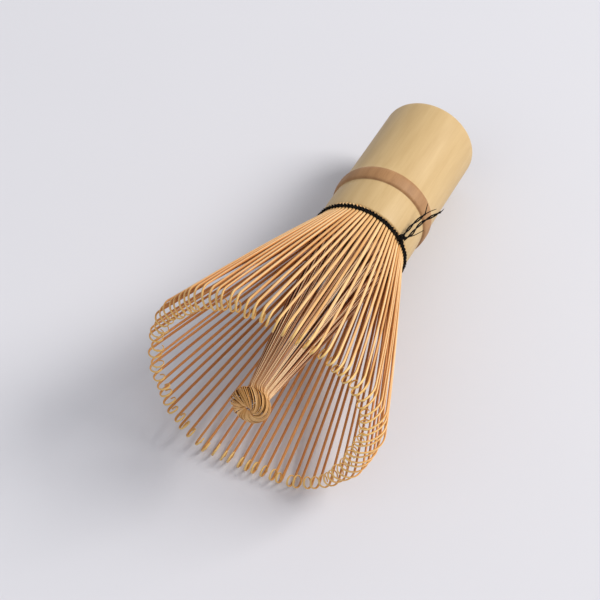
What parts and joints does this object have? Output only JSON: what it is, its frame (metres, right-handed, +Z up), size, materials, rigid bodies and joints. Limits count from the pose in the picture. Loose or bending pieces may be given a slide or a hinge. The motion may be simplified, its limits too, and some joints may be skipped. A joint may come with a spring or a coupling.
{
  "type": "bamboo tea whisk",
  "caption": "Hand whisk split from one bamboo culm: hollow handle with a node, flaring curl-tipped outer tines, an inner bundle twisted into a knob, black thread binding.",
  "frame": {"origin": "on the table, under the middle of the whisk's box as it lies on its side", "axes": "+Z up from the table; +Y along the whisk towards the handle's butt, tines towards -Y; +X to the side where the thread's knot is"},
  "size_m": [0.0628, 0.1108, 0.0577],
  "materials": {
    "handle_bamboo": "satin dried bamboo skin",
    "outer_tine_bamboo": "satin split bamboo",
    "inner_tine_bamboo": "matte split bamboo",
    "binding_thread": "matte black cotton thread"
  },
  "bodies": {
    "handle": {"handle": "handle_bamboo", "thread_outer_strand": "binding_thread", "thread_inner_strand": "binding_thread", "thread_knot": "binding_thread", "thread_tail_a": "binding_thread", "thread_tail_b": "binding_thread"},
    "outer_stave_01": {"outer_tines_01": "outer_tine_bamboo"},
    "outer_stave_02": {"outer_tines_02": "outer_tine_bamboo"},
    "outer_stave_03": {"outer_tines_03": "outer_tine_bamboo"},
    "outer_stave_04": {"outer_tines_04": "outer_tine_bamboo"},
    "outer_stave_05": {"outer_tines_05": "outer_tine_bamboo"},
    "outer_stave_06": {"outer_tines_06": "outer_tine_bamboo"},
    "outer_stave_07": {"outer_tines_07": "outer_tine_bamboo"},
    "outer_stave_08": {"outer_tines_08": "outer_tine_bamboo"},
    "outer_stave_09": {"outer_tines_09": "outer_tine_bamboo"},
    "outer_stave_10": {"outer_tines_10": "outer_tine_bamboo"},
    "outer_stave_11": {"outer_tines_11": "outer_tine_bamboo"},
    "outer_stave_12": {"outer_tines_12": "outer_tine_bamboo"},
    "outer_stave_13": {"outer_tines_13": "outer_tine_bamboo"},
    "outer_stave_14": {"outer_tines_14": "outer_tine_bamboo"},
    "outer_stave_15": {"outer_tines_15": "outer_tine_bamboo"},
    "outer_stave_16": {"outer_tines_16": "outer_tine_bamboo"},
    "inner_bundle": {"inner_tines_01": "inner_tine_bamboo", "inner_tines_02": "inner_tine_bamboo", "inner_tines_03": "inner_tine_bamboo", "inner_tines_04": "inner_tine_bamboo", "inner_tines_05": "inner_tine_bamboo", "inner_tines_06": "inner_tine_bamboo", "inner_tines_07": "inner_tine_bamboo", "inner_tines_08": "inner_tine_bamboo", "inner_tines_09": "inner_tine_bamboo", "inner_tines_10": "inner_tine_bamboo", "inner_tines_11": "inner_tine_bamboo", "inner_tines_12": "inner_tine_bamboo", "inner_tines_13": "inner_tine_bamboo", "inner_tines_14": "inner_tine_bamboo", "inner_tines_15": "inner_tine_bamboo", "inner_tines_16": "inner_tine_bamboo"}
  },
  "joints": [
    {"name": "outer_stave_01_flex", "type": "hinge", "parent": "handle", "child": "outer_stave_01", "pos_m": [-0.00181, 0.00983, 0.03263], "axis": [-0.9808, -0.0318, -0.1925], "range_deg": [-2, 8], "stiffness_Nm_per_rad": 0.25},
    {"name": "outer_stave_02_flex", "type": "hinge", "parent": "handle", "child": "outer_stave_02", "pos_m": [-0.00628, 0.00953, 0.0308], "axis": [-0.8315, -0.0905, -0.5481], "range_deg": [-2, 8], "stiffness_Nm_per_rad": 0.25},
    {"name": "outer_stave_03_flex", "type": "hinge", "parent": "handle", "child": "outer_stave_03", "pos_m": [-0.0097, 0.00897, 0.02743], "axis": [-0.5556, -0.1355, -0.8204], "range_deg": [-2, 8], "stiffness_Nm_per_rad": 0.25},
    {"name": "outer_stave_04_flex", "type": "hinge", "parent": "handle", "child": "outer_stave_04", "pos_m": [-0.01155, 0.00824, 0.02302], "axis": [-0.1951, -0.1598, -0.9677], "range_deg": [-2, 8], "stiffness_Nm_per_rad": 0.25},
    {"name": "outer_stave_05_flex", "type": "hinge", "parent": "handle", "child": "outer_stave_05", "pos_m": [-0.01155, 0.00745, 0.01824], "axis": [0.1951, -0.1598, -0.9677], "range_deg": [-2, 8], "stiffness_Nm_per_rad": 0.25},
    {"name": "outer_stave_06_flex", "type": "hinge", "parent": "handle", "child": "outer_stave_06", "pos_m": [-0.0097, 0.00673, 0.01383], "axis": [0.5556, -0.1355, -0.8204], "range_deg": [-2, 8], "stiffness_Nm_per_rad": 0.25},
    {"name": "outer_stave_07_flex", "type": "hinge", "parent": "handle", "child": "outer_stave_07", "pos_m": [-0.00628, 0.00617, 0.01046], "axis": [0.8315, -0.0905, -0.5481], "range_deg": [-2, 8], "stiffness_Nm_per_rad": 0.25},
    {"name": "outer_stave_08_flex", "type": "hinge", "parent": "handle", "child": "outer_stave_08", "pos_m": [-0.00181, 0.00587, 0.00863], "axis": [0.9808, -0.0318, -0.1925], "range_deg": [-2, 8], "stiffness_Nm_per_rad": 0.25},
    {"name": "outer_stave_09_flex", "type": "hinge", "parent": "handle", "child": "outer_stave_09", "pos_m": [0.00303, 0.00587, 0.00863], "axis": [0.9808, 0.0318, 0.1925], "range_deg": [-2, 8], "stiffness_Nm_per_rad": 0.25},
    {"name": "outer_stave_10_flex", "type": "hinge", "parent": "handle", "child": "outer_stave_10", "pos_m": [0.0075, 0.00617, 0.01046], "axis": [0.8315, 0.0905, 0.5481], "range_deg": [-2, 8], "stiffness_Nm_per_rad": 0.25},
    {"name": "outer_stave_11_flex", "type": "hinge", "parent": "handle", "child": "outer_stave_11", "pos_m": [0.01092, 0.00673, 0.01383], "axis": [0.5556, 0.1355, 0.8204], "range_deg": [-2, 8], "stiffness_Nm_per_rad": 0.25},
    {"name": "outer_stave_12_flex", "type": "hinge", "parent": "handle", "child": "outer_stave_12", "pos_m": [0.01277, 0.00745, 0.01824], "axis": [0.1951, 0.1598, 0.9677], "range_deg": [-2, 8], "stiffness_Nm_per_rad": 0.25},
    {"name": "outer_stave_13_flex", "type": "hinge", "parent": "handle", "child": "outer_stave_13", "pos_m": [0.01277, 0.00824, 0.02302], "axis": [-0.1951, 0.1598, 0.9677], "range_deg": [-2, 8], "stiffness_Nm_per_rad": 0.25},
    {"name": "outer_stave_14_flex", "type": "hinge", "parent": "handle", "child": "outer_stave_14", "pos_m": [0.01092, 0.00897, 0.02743], "axis": [-0.5556, 0.1355, 0.8204], "range_deg": [-2, 8], "stiffness_Nm_per_rad": 0.25},
    {"name": "outer_stave_15_flex", "type": "hinge", "parent": "handle", "child": "outer_stave_15", "pos_m": [0.0075, 0.00953, 0.0308], "axis": [-0.8315, 0.0905, 0.5481], "range_deg": [-2, 8], "stiffness_Nm_per_rad": 0.25},
    {"name": "outer_stave_16_flex", "type": "hinge", "parent": "handle", "child": "outer_stave_16", "pos_m": [0.00303, 0.00983, 0.03263], "axis": [-0.9808, 0.0318, 0.1925], "range_deg": [-2, 8], "stiffness_Nm_per_rad": 0.25},
    {"name": "inner_bundle_sway", "type": "hinge", "parent": "handle", "child": "inner_bundle", "pos_m": [0.00061, 0.00785, 0.02063], "axis": [1, 0, 0], "range_deg": [-2.5, 2.5], "stiffness_Nm_per_rad": 0.3}
  ]
}
